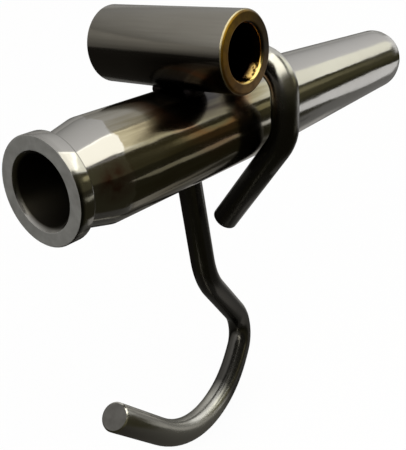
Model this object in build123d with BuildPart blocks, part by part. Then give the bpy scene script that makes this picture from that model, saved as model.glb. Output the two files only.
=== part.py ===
from build123d import *
import os
from math import cos, radians, sin

# Sizes are in millimetres. +X runs along the spout towards the tree and +Z is up.
# The origin is on the spout's axis, where the tapered nose is as thick as the tap hole.

# Spout: lengths along its axis are measured from the outlet face
spout_length = 78.0
shank_diameter = 12.7
bore_diameter = 8.2
mouth_chamfer = 0.5
rim_diameter = 12.5
rim_width = 2.05
neck_diameter = 10.4
neck_width = 0.45
cone_end_from_outlet = 7.55
taper_length = 39.0
nose_diameter = 10.1
nose_lead_length = 1.1
nose_lead_depth = 0.35
tap_hole_diameter = 11.1
edge_break = 0.12

# Cross tube, which lies across the top of the shank
cross_tube_diameter = 9.7
cross_tube_bore = 6.5
cross_tube_length = 21.2
cross_tube_from_outlet = 23.3
cross_tube_chamfer = 0.3
saddle_depth = 0.15

# Weld beads, under the cross tube on the near and far sides of the shank's crown
bead_radius = 0.9
bead_length = 3.2
bead_from_crown = 2.5
bead_below_crown = 0.35

# Bucket hook, bent from one length of round wire
wire_diameter = 3.7
wire_end_chamfer = 0.2
hook_from_outlet = 33.0
hook_clearance = 0.25

# The loop round the shank: slack is what it has beyond a snug fit on that side
near_slack = 1.15
near_top_bend = 4.4
near_low_bend = 6.0
far_slack = 0.5
far_top_bend = 6.0
far_low_bend = 7.0
far_turn_below_axis = 1.5
tail_slack = 0.2
tail_angle = 52.0
tail_reach = 12.9

# The shaft and hook lie in one plane, which leans in under the shank and turns to the near side.
# Their corners are (towards the tree, down) from the foot of the loop, in that plane.
shaft_lean = 8.0
hook_turn = 15.0
shaft_corner = (-1.85, 24.5)
belly_corner = (8.85, 38.1)
bowl_back_corner = (-1.1, 43.4)
bowl_front_corner = (-16.6, 43.4)
hook_tip = (-31.9, 28.2)
shaft_bend = 8.0
belly_bend = 4.2
bowl_back_bend = 20.0
bowl_front_bend = 24.0

# Places worked out from the sizes above
shank_radius = shank_diameter / 2
nose_depth = taper_length * (tap_hole_diameter - nose_diameter) / (shank_diameter - nose_diameter)
outlet_x = nose_depth - spout_length
neck_x = outlet_x + rim_width
nose_tip_x = nose_depth
taper_start_x = nose_tip_x - taper_length
lead_x = nose_tip_x - nose_lead_length
lead_radius = shank_radius - (shank_diameter - nose_diameter) / 2 * (lead_x - taper_start_x) / taper_length
cross_x = outlet_x + cross_tube_from_outlet
cross_z = shank_radius + cross_tube_diameter / 2 - saddle_depth
hook_x = outlet_x + hook_from_outlet
wire_radius = wire_diameter / 2
snug_radius = shank_radius + wire_radius


def save(builder, name):
    """Label a finished piece and write it under its own name."""
    builder.part.label = name
    export_step(builder.part, f"parts/{name}.step")


os.makedirs("parts", exist_ok=True)

# Spout body: round bar turned to a rim, a neck, a plain shank and a long tapered nose with a short lead,
# then bored through
with BuildPart() as spout_body:
    with BuildSketch(Plane.XZ):
        with BuildLine():
            Polyline(
                (outlet_x, 0),
                (outlet_x, rim_diameter / 2),
                (neck_x, rim_diameter / 2),
                (neck_x, neck_diameter / 2),
                (neck_x + neck_width, neck_diameter / 2),
                (outlet_x + cone_end_from_outlet, shank_radius),
                (taper_start_x, shank_radius),
                (lead_x, lead_radius),
                (nose_tip_x, nose_diameter / 2 - nose_lead_depth),
                (nose_tip_x, 0),
                close=True,
            )
        make_face()
    revolve(axis=Axis.X)
    rim_circles = spout_body.edges().filter_by(GeomType.CIRCLE).filter_by_position(Axis.X, outlet_x, neck_x)
    chamfer(rim_circles.sort_by(SortBy.RADIUS)[-2:], edge_break)
    with Locations(Plane.YZ.offset(outlet_x)):
        Hole(bore_diameter / 2)
    outlet_face = spout_body.faces().sort_by(Axis.X)[0]
    chamfer(outlet_face.edges().sort_by(SortBy.RADIUS)[0], mouth_chamfer)
save(spout_body, "spout_body")

# Cross tube: a short length of tube, hollowed below where it sits on the shank
with BuildPart() as cross_tube:
    with BuildSketch(Plane.XZ.offset(-cross_tube_length / 2)):
        with Locations((cross_x, cross_z)):
            Circle(cross_tube_diameter / 2)
            Circle(cross_tube_bore / 2, mode=Mode.SUBTRACT)
    extrude(amount=cross_tube_length)
    chamfer(cross_tube.edges().filter_by(GeomType.CIRCLE), cross_tube_chamfer)
    with BuildSketch(Plane.YZ.offset(cross_x)):
        Circle(shank_radius)
    extrude(amount=cross_tube_diameter, both=True, mode=Mode.SUBTRACT)
save(cross_tube, "cross_tube")

# Weld beads: rounded runs of filler that meet both tubes along their own curves
for side, name in ((-1, "weld_near_side"), (1, "weld_far_side")):
    bead_centre = Vector(cross_x, side * bead_from_crown, shank_radius - bead_below_crown)
    with BuildPart() as weld_bead:
        with BuildSketch(Plane(bead_centre, x_dir=(1, 0, 0), z_dir=(0, -1, 0))):
            SlotOverall(bead_length, 2 * bead_radius)
            split(bisect_by=Plane.XZ)
        revolve(axis=Axis(bead_centre, (1, 0, 0)))
        with BuildSketch(Plane.YZ.offset(cross_x)):
            Circle(shank_radius)
        extrude(amount=bead_length, both=True, mode=Mode.SUBTRACT)
        with BuildSketch(Plane.XZ):
            with Locations((cross_x, cross_z)):
                Circle(cross_tube_diameter / 2)
        extrude(amount=cross_tube_length, both=True, mode=Mode.SUBTRACT)
    save(weld_bead, name)

# Bucket hook: the wire starts at its tail, loops round the shank, drops and curls up into the hook.
# The tail passes under the shank along a line that just clears it.
along_tail = Vector(0, cos(radians(tail_angle)), -sin(radians(tail_angle)))
across_tail = Vector(0, -sin(radians(tail_angle)), -cos(radians(tail_angle)))
tail_line = Vector(hook_x, 0, 0) + across_tail * (snug_radius + tail_slack)
near_y = -(snug_radius + near_slack)
far_y = snug_radius + far_slack
top_z = snug_radius + hook_clearance
loop_foot = Vector(hook_x, far_y, -far_turn_below_axis)
towards_tree = Vector(cos(radians(hook_turn)), sin(radians(hook_turn)), 0)
down_shaft = Vector(0, 0, -1).rotate(Axis((0, 0, 0), towards_tree), -shaft_lean)


def in_hook_plane(corner):
    """A corner of the hook, placed from the foot of the loop."""
    return loop_foot + towards_tree * corner[0] + down_shaft * corner[1]


wire_corners = [
    (tail_line + along_tail * ((near_y - tail_line.Y) / along_tail.Y), near_low_bend),
    (Vector(hook_x, near_y, top_z), near_top_bend),
    (Vector(hook_x, far_y, top_z), far_top_bend),
    (loop_foot, far_low_bend),
    (in_hook_plane(shaft_corner), shaft_bend),
    (in_hook_plane(belly_corner), belly_bend),
    (in_hook_plane(bowl_back_corner), bowl_back_bend),
    (in_hook_plane(bowl_front_corner), bowl_front_bend),
]
tail_end = tail_line + along_tail * tail_reach
with BuildPart() as bucket_hook:
    with BuildLine() as wire_path:
        FilletPolyline(
            tail_end,
            *[corner for corner, bend in wire_corners],
            in_hook_plane(hook_tip),
            radius=[bend for corner, bend in wire_corners],
        )
    with BuildSketch(Plane(origin=tail_end, z_dir=-along_tail)):
        Circle(wire_radius)
    sweep(path=wire_path.line)
    wire_ends = bucket_hook.faces().filter_by(GeomType.PLANE)
    chamfer(wire_ends.edges(), wire_end_chamfer)
save(bucket_hook, "bucket_hook")
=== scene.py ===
from math import cos, pi, radians, sin

import bpy
from mathutils import Matrix, Vector


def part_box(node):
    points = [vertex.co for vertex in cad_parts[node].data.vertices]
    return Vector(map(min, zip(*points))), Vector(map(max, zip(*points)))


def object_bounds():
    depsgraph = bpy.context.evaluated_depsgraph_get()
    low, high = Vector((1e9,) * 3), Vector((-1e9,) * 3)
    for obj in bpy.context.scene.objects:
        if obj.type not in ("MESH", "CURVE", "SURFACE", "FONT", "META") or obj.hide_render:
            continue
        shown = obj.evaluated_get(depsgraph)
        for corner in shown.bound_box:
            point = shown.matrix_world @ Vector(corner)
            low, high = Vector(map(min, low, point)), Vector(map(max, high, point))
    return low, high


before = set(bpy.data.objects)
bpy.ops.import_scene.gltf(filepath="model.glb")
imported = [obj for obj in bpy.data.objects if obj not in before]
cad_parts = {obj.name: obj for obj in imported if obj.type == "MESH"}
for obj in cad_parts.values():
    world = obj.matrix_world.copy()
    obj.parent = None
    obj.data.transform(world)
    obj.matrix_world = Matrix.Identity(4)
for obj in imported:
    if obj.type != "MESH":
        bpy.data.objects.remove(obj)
cad_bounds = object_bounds()
mm = 0.001


# Spout body: one piece of 12.7 mm stainless bar, turned on a lathe and bored right through.
# Its fine rings draw reflections out into sharp stripes, and the groove behind the rim is darker.
# The heat of welding has browned the shank and blued it round the cross tube.
# That dark blue also stands as painted shade under the tube.
def linear(colour):
    """Linear RGBA from an sRGB hex colour."""
    channels = [int(colour[i:i + 2], 16) / 255 for i in (0, 2, 4)]
    return [c / 12.92 if c <= 0.04045 else ((c + 0.055) / 1.055) ** 2.4 for c in channels] + [1]


def add(tree, kind, inputs=(), **settings):
    """Add a node. Its inputs, in order or by name, are numbers, hex colours, nodes or sockets."""
    node = tree.nodes.new("ShaderNode" + kind)
    for key, value in settings.items():
        setattr(node, key, value)
    in_use = [socket for socket in node.inputs if socket.enabled]
    pairs = inputs.items() if isinstance(inputs, dict) else enumerate(inputs)
    for key, value in pairs:
        socket = node.inputs[key] if isinstance(key, str) else in_use[key]
        if isinstance(value, bpy.types.Node):
            value = next(output for output in value.outputs if output.enabled)
        if isinstance(value, bpy.types.NodeSocket):
            tree.links.new(value, socket)
        else:
            socket.default_value = linear(value) if isinstance(value, str) else value
    return node


def new_finish(name):
    """An empty material and its node tree."""
    finish = bpy.data.materials.new(name)
    finish.use_nodes = True
    finish.node_tree.nodes.clear()
    return finish, finish.node_tree


def patches(tree, place, sizes, detail=3):
    """Uneven tone, in patches of the given sizes along X, Y and Z."""
    scaled = add(tree, "VectorMath", [place, [1 / size for size in sizes]], operation="MULTIPLY")
    return add(tree, "TexNoise", {"Vector": scaled, "Scale": 1, "Detail": detail})


def with_stops(ramp, stops):
    """The colour ramp, with its colours set at their places from 0 to 1."""
    spots = ramp.color_ramp.elements
    while len(spots) < len(stops):
        spots.new(0.5)
    for spot, (position, colour) in zip(spots, stops):
        spot.position = position
        spot.color = linear(colour)
    return ramp


# Corners closer than this are one point, and edges that turn by more than this are rounded.
same_point = 0.002 * mm
sharp_turn = radians(25)


def dress(node, body_finish, edge_radius):
    """Give a piece of the frame its finish, and the small radius that a real edge has."""
    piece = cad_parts[node]
    piece.data.materials.clear()
    piece.data.materials.append(body_finish)
    weld = piece.modifiers.new("joined_faces", "WELD")
    weld.merge_threshold = same_point
    edge = piece.modifiers.new("edge_radius", "BEVEL")
    edge.width = edge_radius
    edge.segments = 3
    edge.limit_method = "ANGLE"
    edge.angle_limit = sharp_turn
    edge.harden_normals = True


spout_low, spout_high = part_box("spout_body")
outlet_x = spout_low.x
lead_start = spout_high.x - spout_low.x - 1.1 * mm
shank_radius = spout_high.z
rim_radius = 6.25 * mm
bore_radius = 4.1 * mm
mouth_chamfer = 0.5 * mm
neck_start, neck_end = 2.05 * mm, 2.5 * mm
cone_end = 7.55 * mm
weld_place = (outlet_x + 23.3 * mm, 0, shank_radius)
face_depth = 0.06 * mm
# The real rings are about 0.1 mm apart, too fine to show, so they are drawn at 0.3 mm.
turning_pitch = 0.3 * mm
polish_wave_length, polish_wave_width = 6 * mm, 2 * mm
stain_size = 9 * mm
facing_mark = 1.2 * mm
# The brown starts at a wandering line where the cone ends, runs in streaks and wanes towards the tree.
# It is thinner along the crown and on the lower part.
heat_line_width, heat_line_wander, heat_line_patch = 0.4 * mm, 1.5 * mm, 2.5 * mm
heat_full, heat_waning, heat_end = 14 * mm, 29 * mm, 42 * mm
heat_streak_length, heat_streak_width = 14 * mm, 0.9 * mm
crown_thin_width = 4.8 * mm
thin_below, full_above = 2.6 * mm, 4.2 * mm
# Round the weld the steel is blue, also standing for painted shade under the tube, with a copper ring
# outside that.
blued_shade_reach = 8.5 * mm
temper_start, temper_peak, temper_end = 7.2 * mm, 8 * mm, 10.5 * mm
# A red-brown bloom lies on the cone's near side.
bloom_place = (outlet_x + 5.5 * mm, -5.8 * mm, 0.5 * mm)
bloom_reach, bloom_patch = 2.8 * mm, 1.5 * mm
# The neck's groove is darker, and the rim's outer edge carries painted shade, mostly underneath.
groove_band_spread = 0.25 * mm
edge_shade_start, edge_shade_end = 0.3 * mm, 0.7 * mm
rim_shade_start, rim_shade_end = rim_radius - 0.15 * mm, rim_radius - 0.05 * mm
edge_shade_full_z, edge_shade_thin_z = 1.5 * mm, 3.5 * mm


def turned_stainless():
    """Lathe-turned stainless steel with fine rings, browned, and blued round the weld, partly as painted
    shade.
    """
    finish, tree = new_finish("turned_stainless")
    place = add(tree, "TexCoord").outputs["Object"]
    x, y, z = add(tree, "SeparateXYZ", [place]).outputs
    from_outlet = add(tree, "Math", [x, outlet_x], operation="SUBTRACT")
    radius = add(tree, "VectorMath", [add(tree, "CombineXYZ", [y, z])], operation="LENGTH")
    rings = patches(tree, add(tree, "CombineXYZ", [x]), [turning_pitch] * 3)
    stains = patches(tree, place, [stain_size] * 3)
    streaks = patches(tree, place, (heat_streak_length, heat_streak_width, heat_streak_width), 4)

    # A MapRange lists what it reads, two limits of that, and what it gives at each.
    wander = patches(tree, place, [heat_line_patch] * 3)
    wander = add(tree, "MapRange", [wander, 0, 1, -heat_line_wander, heat_line_wander])
    from_line = add(tree, "Math", [from_outlet, wander], operation="ADD")
    off_crown = add(tree, "Math", [y], operation="ABSOLUTE")
    browned = add(tree, "MapRange", [from_line, cone_end, heat_full, 0.7, 1])
    for limit in ([from_line, cone_end - heat_line_width / 2, cone_end + heat_line_width / 2, 0, 1],
                  [from_outlet, heat_waning, heat_end, 1, 0],
                  [off_crown, crown_thin_width / 2, crown_thin_width, 0.55, 1],
                  [z, thin_below, full_above, 0.6, 1],
                  [streaks, 0.35, 0.65, 0.7, 1.1]):
        browned = add(tree, "Math", [browned, add(tree, "MapRange", limit)], operation="MULTIPLY")
    heated = add(tree, "Math", [browned, 0], operation="GREATER_THAN")
    heat_colour = with_stops(add(tree, "ValToRGB", [browned]),
                             ((0.0, "b2b0ac"), (0.6, "807966"), (1.0, "443a2a")))
    from_weld = add(tree, "VectorMath", [place, weld_place], operation="DISTANCE")
    # Painted shade: the dark blue round the weld also stands for the shade under the cross tube.
    blued_and_shaded = add(tree, "MapRange", [from_weld, blued_shade_reach / 2, blued_shade_reach, 0.85, 0])
    tempered = add(tree, "MapRange", [from_weld, temper_start, temper_peak, 0, 0.5])
    past_peak = add(tree, "MapRange", [from_weld, temper_peak, temper_end, 1, 0])
    tempered = add(tree, "Math", [tempered, past_peak], operation="MULTIPLY")
    from_bloom = add(tree, "VectorMath", [place, bloom_place], operation="DISTANCE")
    bloom = add(tree, "MapRange", [from_bloom, bloom_reach / 3, bloom_reach, 0.9, 0])
    blotches = add(tree, "MapRange", [patches(tree, place, [bloom_patch] * 3), 0.35, 0.65, 0.3, 1])
    bloom = add(tree, "Math", [bloom, blotches], operation="MULTIPLY")

    lead = add(tree, "MapRange", [from_outlet, lead_start - face_depth, lead_start, 0, 0.4])
    before_neck = add(tree, "MapRange", [from_outlet, neck_start - groove_band_spread, neck_start, 0, 0.8])
    after_neck = add(tree, "MapRange", [from_outlet, neck_end, neck_end + groove_band_spread, 1, 0])
    groove = add(tree, "Math", [before_neck, after_neck], operation="MULTIPLY")
    # Painted shade on the rim's outer edge next to the face, mostly underneath.
    rim_edge_shade = add(tree, "MapRange", [from_outlet, edge_shade_start, edge_shade_end, 0.85, 0])
    for limit in ([radius, rim_shade_start, rim_shade_end, 0, 1], [z, edge_shade_full_z, edge_shade_thin_z, 1, 0.15]):
        rim_edge_shade = add(tree, "Math", [rim_edge_shade, add(tree, "MapRange", limit)], operation="MULTIPLY")
    inside = add(tree, "MapRange", [radius, bore_radius, bore_radius + mouth_chamfer, 1, 0])
    faced = add(tree, "MapRange", [from_outlet, face_depth / 2, face_depth, 1, 0])
    facing_marks = patches(tree, place, [facing_mark] * 3)
    face_colour = add(tree, "Mix", [facing_marks, "a3a29f", "7a7975"], data_type="RGBA")
    colour = add(tree, "Mix", [stains, "b2b0ac", "a8a59f"], data_type="RGBA")
    for amount, coat in ((heated, heat_colour), (blued_and_shaded, "2a2b33"), (tempered, "9a6440"), (bloom, "7a3c2e"),
                         (lead, "d8d6d0"), (groove, "2a251e"), (rim_edge_shade, "1c1915"), (inside, "3a362f"),
                         (faced, face_colour)):
        colour = add(tree, "Mix", [amount, colour, coat], data_type="RGBA")

    rough = add(tree, "MapRange", [stains, 0.3, 0.7, 0.1, 0.17])
    for amount, dullness in ((inside, 0.5), (faced, 0.55)):
        dulled = add(tree, "Math", [amount, dullness], operation="MULTIPLY")
        rough = add(tree, "Math", [rough, dulled], operation="MAXIMUM")
    waves = patches(tree, place, (polish_wave_length, polish_wave_width, polish_wave_width), 2)
    waves = add(tree, "Bump", {"Height": waves, "Strength": 0.12, "Distance": 0.25 * mm})
    bump = add(tree, "Bump", {"Height": rings, "Strength": 0.25, "Distance": 0.01 * mm, "Normal": waves})
    shader = add(tree, "BsdfPrincipled", {
        "Base Color": colour,
        "Metallic": add(tree, "MapRange", [faced, 0, 1, 1, 0.6]),
        "Roughness": rough,
        "Anisotropic": add(tree, "MapRange", [faced, 0, 1, 0.6, 0]),
        "Anisotropic Rotation": 0.25,
        "Tangent": add(tree, "Tangent", direction_type="RADIAL", axis="X"),
        "Normal": bump,
    })
    add(tree, "OutputMaterial", {"Surface": shader})
    return finish


dress("spout_body", turned_stainless(), 0.06 * mm)


# Cross tube: a sawn length of drawn stainless tube, satin outside and welded across the shank's top.
# Drawing leaves faint streaks along it. Painted shade darkens it brown underneath. The weld's heat has
# turned its ends straw gold, with a painted highlight on their outer lip and a painted glint low in their
# mouths.
tube_low, tube_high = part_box("cross_tube")
tube_end_y = tube_high.y
tube_radius = (tube_high.x - tube_low.x) / 2
tube_centre_x, tube_centre_z = tube_low.x + tube_radius, tube_high.z - tube_radius
tube_bore_radius = 3.25 * mm
# The real streaks are hair lines, too fine to show, so they are drawn 0.25 mm wide.
draw_streak_width, draw_streak_length = 0.25 * mm, 8 * mm
tint_depth = 0.35 * mm
lip_width = 0.3 * mm
temper_patch = 1.2 * mm
bore_tint_depth = 5 * mm
# Painted shade: the tube's lower half is darkened brown, more towards its near end.
shade_full_below, shade_none_above = tube_centre_z - 0.8 * mm, tube_centre_z + 0.8 * mm
shade_half_length = 4 * mm
# Colours round the tube's ends, by angle: from the outlet side down, round and back over the top
round_face = ((0.0, "785610"), (0.12, "6a4a12"), (0.36, "8a6e48"), (0.5, "3a342a"), (0.65, "4c3a14"),
              (0.87, "866618"), (1.0, "785610"))
# The outer lip's tones by angle are a painted highlight, cream on its upper outlet side.
lip_highlight_stops = ((0.0, "b4ab88"), (0.15, "6a5c3c"), (0.36, "5c5040"), (0.5, "34322c"), (0.62, "5c543c"),
             (0.8, "b8b090"), (1.0, "b4ab88"))
# The lip of each mouth is straw gold, with a painted glint low on its tree side.
mouth_glint_stops = ((0.0, "3a2e16"), (0.2, "8a7038"), (0.3, "e8cf80"), (0.4, "e8cf80"), (0.48, "4a4440"),
               (1.0, "3a2e16"))
# Heat tints of the bore, from dark inside to straw gold at its mouths
down_bore = ((0.0, "2c2824"), (0.4, "3a3140"), (0.7, "6d4a3c"), (1.0, "c79a3c"))
# The painted glint lies low on the bore's tree side, and comes and goes over these shares of a turn.
glint_depth, glint_patch_size = 1.6 * mm, 0.8 * mm
glint_comes, glint_goes = (0.29, 0.32), (0.39, 0.42)


def satin_tube():
    """Drawn tube with a satin face and painted shade underneath; straw-gold heated ends with painted
    highlights and glints.
    """
    finish, tree = new_finish("satin_tube_stainless")
    place = add(tree, "TexCoord").outputs["Object"]
    _, y, z = add(tree, "SeparateXYZ", [place]).outputs
    clouds = patches(tree, place, [stain_size] * 3)
    streaks = patches(tree, place, (draw_streak_width, draw_streak_length, draw_streak_width), 4)
    from_middle = add(tree, "Math", [y], operation="ABSOLUTE")
    centred = add(tree, "VectorMath", [place, (tube_centre_x, 0, tube_centre_z)], operation="SUBTRACT")
    across = add(tree, "VectorMath", [centred, (1, 0, 1)], operation="MULTIPLY")
    radius = add(tree, "VectorMath", [across], operation="LENGTH")
    sides = add(tree, "SeparateXYZ", [across]).outputs
    turn = add(tree, "Math", [sides["Z"], sides["X"]], operation="ARCTAN2")
    turn = add(tree, "MapRange", [turn, -pi, pi, 0, 1])

    faint_streaks = add(tree, "Math", [streaks, 0.5], operation="MULTIPLY")
    # Painted shade darkens the tube's lower half brown, more towards its near end.
    tube_underside_shade = add(tree, "MapRange", [z, shade_full_below, shade_none_above, 0.92, 0])
    towards_near = add(tree, "MapRange", [y, -shade_half_length, shade_half_length, 1, 0.1])
    tube_underside_shade = add(tree, "Math", [tube_underside_shade, towards_near], operation="MULTIPLY")
    face = add(tree, "MapRange", [from_middle, tube_end_y - tint_depth, tube_end_y - tint_depth / 2, 0, 1])
    dark_patches = add(tree, "MapRange", [patches(tree, place, [temper_patch] * 3, 4), 0.4, 0.6, 0, 0.5])
    face_colour = with_stops(add(tree, "ValToRGB", [turn]), round_face)
    face_colour = add(tree, "Mix", [dark_patches, face_colour, "3c2812"], data_type="RGBA")
    # Painted highlight on the ends' outer lip.
    lip_highlight = [radius, tube_radius - lip_width / 2, tube_radius - lip_width / 3, 0, 1]
    lip_highlight = add(tree, "Math", [face, add(tree, "MapRange", lip_highlight)], operation="MULTIPLY")
    lip_highlight_colour = with_stops(add(tree, "ValToRGB", [turn]), lip_highlight_stops)
    mouth = [radius, tube_bore_radius + lip_width / 2, tube_bore_radius + lip_width, 1, 0]
    mouth = add(tree, "MapRange", mouth)
    # Painted glint along the mouth's lip, low on the tree side.
    mouth_glint = add(tree, "Math", [face, mouth], operation="MULTIPLY")
    mouth_glint_colour = with_stops(add(tree, "ValToRGB", [turn]), mouth_glint_stops)
    inside = add(tree, "MapRange", [radius, tube_bore_radius, tube_bore_radius + face_depth, 1, 0])
    depth = add(tree, "MapRange", [from_middle, tube_end_y - bore_tint_depth, tube_end_y, 0, 1])
    bore_colour = with_stops(add(tree, "ValToRGB", [depth]), down_bore)
    # Painted glint: a bright straw patch low inside each mouth.
    glint_patch = inside
    for limit in ([from_middle, tube_end_y - glint_depth, tube_end_y - glint_depth / 2, 0, 1],
                  [turn, *glint_comes, 0, 1],
                  [turn, *glint_goes, 1, 0],
                  [patches(tree, place, [glint_patch_size] * 3), 0.42, 0.52, 0.1, 1]):
        glint_patch = add(tree, "Math", [glint_patch, add(tree, "MapRange", limit)], operation="MULTIPLY")
    colour = add(tree, "Mix", [clouds, "97948b", "89857b"], data_type="RGBA")
    for amount, coat in ((faint_streaks, "726c64"), (tube_underside_shade, "30241a"), (face, face_colour),
                         (lip_highlight, lip_highlight_colour), (mouth_glint, mouth_glint_colour), (inside, bore_colour),
                         (glint_patch, "ffd884")):
        colour = add(tree, "Mix", [amount, colour, coat], data_type="RGBA")

    dull = add(tree, "Math", [face, mouth], operation="SUBTRACT")
    smooth = add(tree, "MapRange", [streaks, 0.3, 0.7, 0.12, 0.2])
    rough = add(tree, "MapRange", [dull, 0, 1, smooth, 0.4])
    glint_rough = add(tree, "Math", [glint_patch, 0.5], operation="MULTIPLY")
    metal = add(tree, "MapRange", [dull, 0, 1, 1, 0.9])
    off_face = add(tree, "MapRange", [face, 0, 1, 0.3, 0])
    bump = add(tree, "Bump", {"Height": streaks, "Strength": off_face, "Distance": 0.01 * mm})
    shader = add(tree, "BsdfPrincipled", {
        "Base Color": colour,
        "Metallic": add(tree, "Math", [metal, glint_patch], operation="SUBTRACT"),
        "Roughness": add(tree, "Math", [rough, glint_rough], operation="MAXIMUM"),
        "Normal": bump,
    })
    add(tree, "OutputMaterial", {"Surface": shader})
    return finish


dress("cross_tube", satin_tube(), 0.1 * mm)


# Weld beads: filler metal run under the cross tube on both sides of the shank's crown.
# Left as it cooled, it is uneven and burnt brown and blue; its very dark tone is also painted shade under
# the tube.
ripple_length = 3.77 * mm
unscaled_wave_length = 2 * pi / 20
burn_size = 2 * mm


def burnt_shaded_weld():
    """Weld metal as it cooled: uneven, dull and heat-coloured, and darkened as painted shade."""
    finish, tree = new_finish("burnt_shaded_weld_metal")
    place = add(tree, "TexCoord").outputs["Object"]
    ripple_scale = unscaled_wave_length / ripple_length
    ripples = add(tree, "TexWave", {"Vector": place, "Scale": ripple_scale, "Distortion": 2, "Detail": 2})
    height = ripples.outputs["Fac"]
    burns = patches(tree, place, [burn_size] * 3)
    shader = add(tree, "BsdfPrincipled", {
        "Base Color": add(tree, "Mix", [burns, "2e2620", "26272f"], data_type="RGBA"),
        "Metallic": 1.0,
        "Roughness": 0.5,
        "Normal": add(tree, "Bump", {"Height": height, "Strength": 0.6, "Distance": 0.08 * mm}),
    })
    add(tree, "OutputMaterial", {"Surface": shader})
    return finish


weld_finish = burnt_shaded_weld()
for bead in ("weld_near_side", "weld_far_side"):
    dress(bead, weld_finish, 0.05 * mm)


# Bucket hook: 3.7 mm drawn steel wire, cut to length and bent cold round pegs.
# Its skin is smooth and dark with short draw marks, with a painted highlight where buckets hang and at the
# loop's top.
# The sawn tip shows flat paler metal.
wire_radius = 1.85 * mm
draw_mark_size = 1.2 * mm
handling_size = 6 * mm
# Painted highlight: the bowl and the loop's top are given a bright colour.
bowl_highlight_full, bowl_highlight_none = -36.5 * mm, -32 * mm
loop_highlight_none, loop_highlight_full = 2 * mm, 8 * mm
# The middle of the sawn tip, and the way it faces
cut_centre, cut_facing = (-59.8 * mm, -3.34 * mm, -29.4 * mm), (-0.711, -0.089, 0.698)
cut_depth = 0.05 * mm


def drawn_wire():
    """Drawn wire with a dark smooth skin and painted highlights in its bowl and at the top of its loop."""
    finish, tree = new_finish("drawn_wire_steel")
    place = add(tree, "TexCoord").outputs["Object"]
    x, _, z = add(tree, "SeparateXYZ", [place]).outputs
    rubs = patches(tree, place, [handling_size] * 3, 4)
    marks = patches(tree, place, [draw_mark_size] * 3, 5)
    # Painted highlight in the bowl and at the loop's top.
    bowl = add(tree, "MapRange", [x, bowl_highlight_full, bowl_highlight_none, 1, 0])
    loop_top = add(tree, "MapRange", [z, loop_highlight_none, loop_highlight_full, 0, 0.6])
    painted_highlight = add(tree, "Math", [bowl, loop_top], operation="ADD")
    off_cut = add(tree, "VectorMath", [place, cut_centre], operation="SUBTRACT")
    depth = add(tree, "VectorMath", [off_cut, cut_facing], operation="DOT_PRODUCT")
    reach = add(tree, "VectorMath", [off_cut], operation="LENGTH")
    on_face = add(tree, "Math", [depth, -cut_depth], operation="GREATER_THAN")
    near_tip = add(tree, "Math", [reach, 1.1 * wire_radius], operation="LESS_THAN")
    cut = add(tree, "Math", [on_face, near_tip], operation="MULTIPLY")
    cut_colour = add(tree, "Mix", [marks, "85837f", "5c5a56"], data_type="RGBA")
    colour = add(tree, "Mix", [rubs, "605e5a", "504e4a"], data_type="RGBA")
    for amount, coat in ((painted_highlight, "dddbd2"), (cut, cut_colour)):
        colour = add(tree, "Mix", [amount, colour, coat], data_type="RGBA")
    rough = add(tree, "MapRange", [rubs, 0.3, 0.7, 0.2, 0.3])
    cut_rough = add(tree, "Math", [cut, 0.45], operation="MULTIPLY")
    shader = add(tree, "BsdfPrincipled", {
        "Base Color": colour,
        "Metallic": 1.0,
        "Roughness": add(tree, "Math", [rough, cut_rough], operation="MAXIMUM"),
        "Normal": add(tree, "Bump", {"Height": marks, "Strength": 0.1, "Distance": 0.02 * mm}),
    })
    add(tree, "OutputMaterial", {"Surface": shader})
    return finish


dress("bucket_hook", drawn_wire(), 0.1 * mm)


# Stage: a seamless pale floor and white surround, two softboxes overhead and painted boards round the part.
# Only polished metal sees the boards. They stand for the dim room that gives it dark and bright stripes,
# so each is placed one by one, in metres, where the metal mirrors it to the camera.
floor_gap = 1 * mm
floor_z = cad_bounds[0][2] - floor_gap
floor_reach = 6
floor_lift = 0.95
surround_light = 0.85


def background_rays(tree):
    """1 for the rays that see the background: the camera's, and those off metal or through glass."""
    rays = add(tree, "LightPath").outputs
    seen = add(tree, "Math", [rays["Is Camera Ray"], rays["Is Glossy Ray"]], operation="MAXIMUM")
    return add(tree, "Math", [seen, rays["Is Transmission Ray"]], operation="MAXIMUM")


def sheet(name, corners, finish):
    """A flat four-cornered sheet of the stage."""
    mesh = bpy.data.meshes.new(name)
    mesh.from_pydata(corners, [], [(0, 1, 2, 3)])
    mesh.materials.append(finish)
    piece = bpy.data.objects.new(name, mesh)
    bpy.context.scene.collection.objects.link(piece)
    return piece


def pale_floor():
    """Matt white floor, lifted to white where it is seen as background, with its shadow kept."""
    finish, tree = new_finish("pale_floor")
    matt = add(tree, "BsdfDiffuse", {"Color": "f4f4f2"})
    white = add(tree, "Emission", {"Color": "ffffff", "Strength": 1.0})
    lift = add(tree, "Math", [background_rays(tree), floor_lift], operation="MULTIPLY")
    add(tree, "OutputMaterial", {"Surface": add(tree, "MixShader", [lift, matt, white])})
    return finish


def painted_board():
    """Board paint, whose tone is set at each corner of the board."""
    finish, tree = new_finish("painted_board")
    tone = add(tree, "Attribute", attribute_name="tone").outputs["Color"]
    add(tree, "OutputMaterial", {"Surface": add(tree, "Emission", {"Color": tone, "Strength": 1.0})})
    return finish


floor_sides = ((-1, -1), (1, -1), (1, 1), (-1, 1))
sheet("floor", [(x * floor_reach, y * floor_reach, floor_z) for x, y in floor_sides], pale_floor())

world = bpy.data.worlds.new("white_surround")
bpy.context.scene.world = world
world.use_nodes = True
surround = world.node_tree
surround.nodes.clear()
shine = add(surround, "MapRange", [background_rays(surround), 0, 1, surround_light, 1])
white = add(surround, "Background", {"Color": "ffffff", "Strength": shine})
add(surround, "OutputWorld", {"Surface": white})

board_paint = painted_board()


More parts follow.
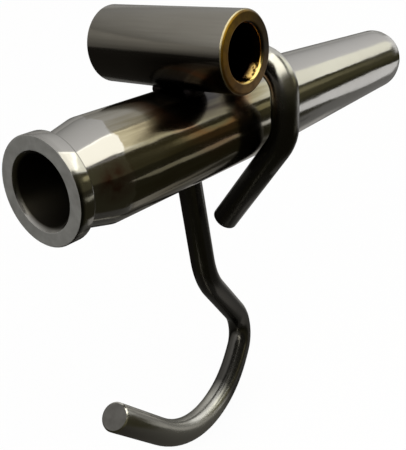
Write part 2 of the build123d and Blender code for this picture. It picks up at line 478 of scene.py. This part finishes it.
def board(name, corners, tones):
    """A painted board that only reflections see, with an sRGB tone at each corner."""
    piece = sheet(name, corners, board_paint)
    paint = piece.data.color_attributes.new("tone", "FLOAT_COLOR", "POINT")
    for point, tone in zip(paint.data, tones):
        point.color = linear(tone)
    piece.visible_camera = piece.visible_diffuse = piece.visible_shadow = False
    piece.visible_transmission = False


room_near, room_far, room_outlet_end, room_tree_end = -0.56, 0.7, -0.8, 1.5
ceiling_z = 0.35
strip_near, strip_far, strip_start = -0.54, -0.1, 0.27
wall_gap, board_gap = 10 * mm, 0.3 * mm
cloth_z, grey_z, card_z = (floor_z + layer * board_gap for layer in (1, 2, 3))


def wall(name, start, stop, foot_tones, top_tones):
    """An upright board from one (x, y) to another, from the floor to the ceiling."""
    corners = [(*start, floor_z), (*stop, floor_z), (*stop, ceiling_z), (*start, ceiling_z)]
    board(name, corners, (*foot_tones, *reversed(top_tones)))


def level_board(name, x_range, y_range, height, start_tone, end_tone):
    """A level board whose tone runs from its start to its end along X."""
    (start, end), (near, far) = x_range, y_range
    corners = [(start, near, height), (end, near, height), (end, far, height), (start, far, height)]
    board(name, corners, (start_tone, end_tone, end_tone, start_tone))


outlet_near, outlet_far = (room_outlet_end, room_near), (room_outlet_end, room_far)
tree_near, tree_far = (room_tree_end, room_near), (room_tree_end, room_far)
wall("near_wall", outlet_near, tree_near, ("5a5744", "48452f"), ("5a5744", "48452f"))
wall("far_wall", outlet_far, tree_far, ("6a6864", "6b6a67"), ("bcbab6", "c4c3c0"))
wall("tree_end_wall", tree_near, tree_far, ("48452f", "c4c3c0"), ("48452f", "c4c3c0"))
wall("outlet_end_wall", outlet_near, outlet_far, ("201e17", "6a6864"), ("8f8d88", "bcbab6"))
far_ceiling = [(room_outlet_end, strip_far), (room_tree_end, strip_far), tree_far, outlet_far]
board("far_ceiling", [(x, y, ceiling_z) for x, y in far_ceiling], ("ffffff", "ffffff", "8f8e8b", "8f8e8b"))
whole_length = (room_outlet_end, room_tree_end)
level_board("near_ceiling", whole_length, (room_near, strip_far), ceiling_z + wall_gap, "5a5852", "000000")
level_board("black_cloth", whole_length, (room_near, room_far), cloth_z, "1a1917", "48452f")
grey_cloth = [(-0.02, -0.019), (0.2, -0.055), (0.4, 0.7), (-0.02, 0.7)]
board("grey_cloth", [(x, y, grey_z) for x, y in grey_cloth], ("6a6966", "8a8987", "9a9997", "4a4946"))
level_board("dim_cloth", (-0.06, -0.02), (-0.016, 0.03), grey_z, "2a2825", "5a5955")
level_board("white_card", (0.095, 0.29), (-0.13, -0.024), card_z, "ffffff", "ffffff")
level_board("card_edge", (0.015, 0.095), (-0.13, -0.09), card_z, "9c9a8a", "d8d6c8")
level_board("cloth_fold", (-0.026, 0.004), (-0.019, -0.004), card_z, "a8a6a2", "7a7976")
level_board("bowl_card", (0.0, 0.07), (0.004, 0.04), card_z, "a8a6a2", "a8a6a2")
level_board("dark_corner", (room_outlet_end, 0.0), (0.03, room_far), card_z, "1a1917", "2a2825")
sill = [(0.4, 0.08), (1.3, 0.14), (1.3, 0.26), (0.4, 0.19)]
board("sill", [(x, room_near + wall_gap, z) for x, z in sill], ("d8d0a4", "4c4a34", "4c4a34", "d8d0a4"))
door = [(-0.25, 0), (0.32, 0), (0.32, ceiling_z), (-0.25, ceiling_z)]
board("door", [(room_tree_end - wall_gap, y, z) for y, z in door], ("ffffff",) * 4)
hook_flag = [(-0.032, -0.036), (-0.004, -0.036), (-0.004, -0.009), (-0.032, -0.009)]
board("hook_flag", [(x, -0.008, z) for x, z in hook_flag], ("403f3a",) * 4)


def softbox(name, size, centre, radiance, colour):
    """A softbox of the given size that faces down and shines with the given radiance."""
    light = bpy.data.lights.new(name, "AREA")
    light.shape = "RECTANGLE"
    light.size, light.size_y = size
    light.energy = radiance * pi * light.size * light.size_y
    light.color = linear(colour)[:3]
    lamp = bpy.data.objects.new(name, light)
    lamp.location = centre
    lamp.visible_camera = False
    bpy.context.scene.collection.objects.link(lamp)


softbox("window_softbox", (0.1, 0.043), (-0.07, -0.0335, 0.04), 2.2, "fffdf2")
strip_size = (room_tree_end - strip_start, strip_far - strip_near)
strip_centre = ((strip_start + room_tree_end) / 2, (strip_near + strip_far) / 2, ceiling_z)
softbox("strip_softbox", strip_size, strip_centre, 1.5, "fffff0")


# Camera: at the photograph's angle, found by matching the outlines of the shank and cross tube.
# It is close to the outlet, so the nose shrinks away from it.
camera_turn, camera_tilt, camera_roll = radians(50.34), radians(23.05), radians(-3.74)
camera_place = Vector((outlet_x - 44.56 * mm, -58.80 * mm, 25.67 * mm))
photo_height_pixels = 450
focal_length_pixels = 728.1

ahead = Vector((sin(camera_turn), cos(camera_turn), 0))
forward = ahead * cos(camera_tilt) - Vector((0, 0, sin(camera_tilt)))
level = Vector((cos(camera_turn), -sin(camera_turn), 0))
upright = level.cross(forward)
right = cos(camera_roll) * level + sin(camera_roll) * upright
up = cos(camera_roll) * upright - sin(camera_roll) * level
lens = bpy.data.cameras.new("camera")
lens.sensor_width = 36
lens.lens = focal_length_pixels * lens.sensor_width / photo_height_pixels
lens.clip_start = 1 * mm
camera = bpy.data.objects.new("camera", lens)
camera.matrix_world = Matrix.Translation(camera_place) @ Matrix((right, up, -forward)).transposed().to_4x4()
bpy.context.scene.collection.objects.link(camera)
bpy.context.scene.camera = camera
bpy.context.scene.view_settings.view_transform = "Standard"
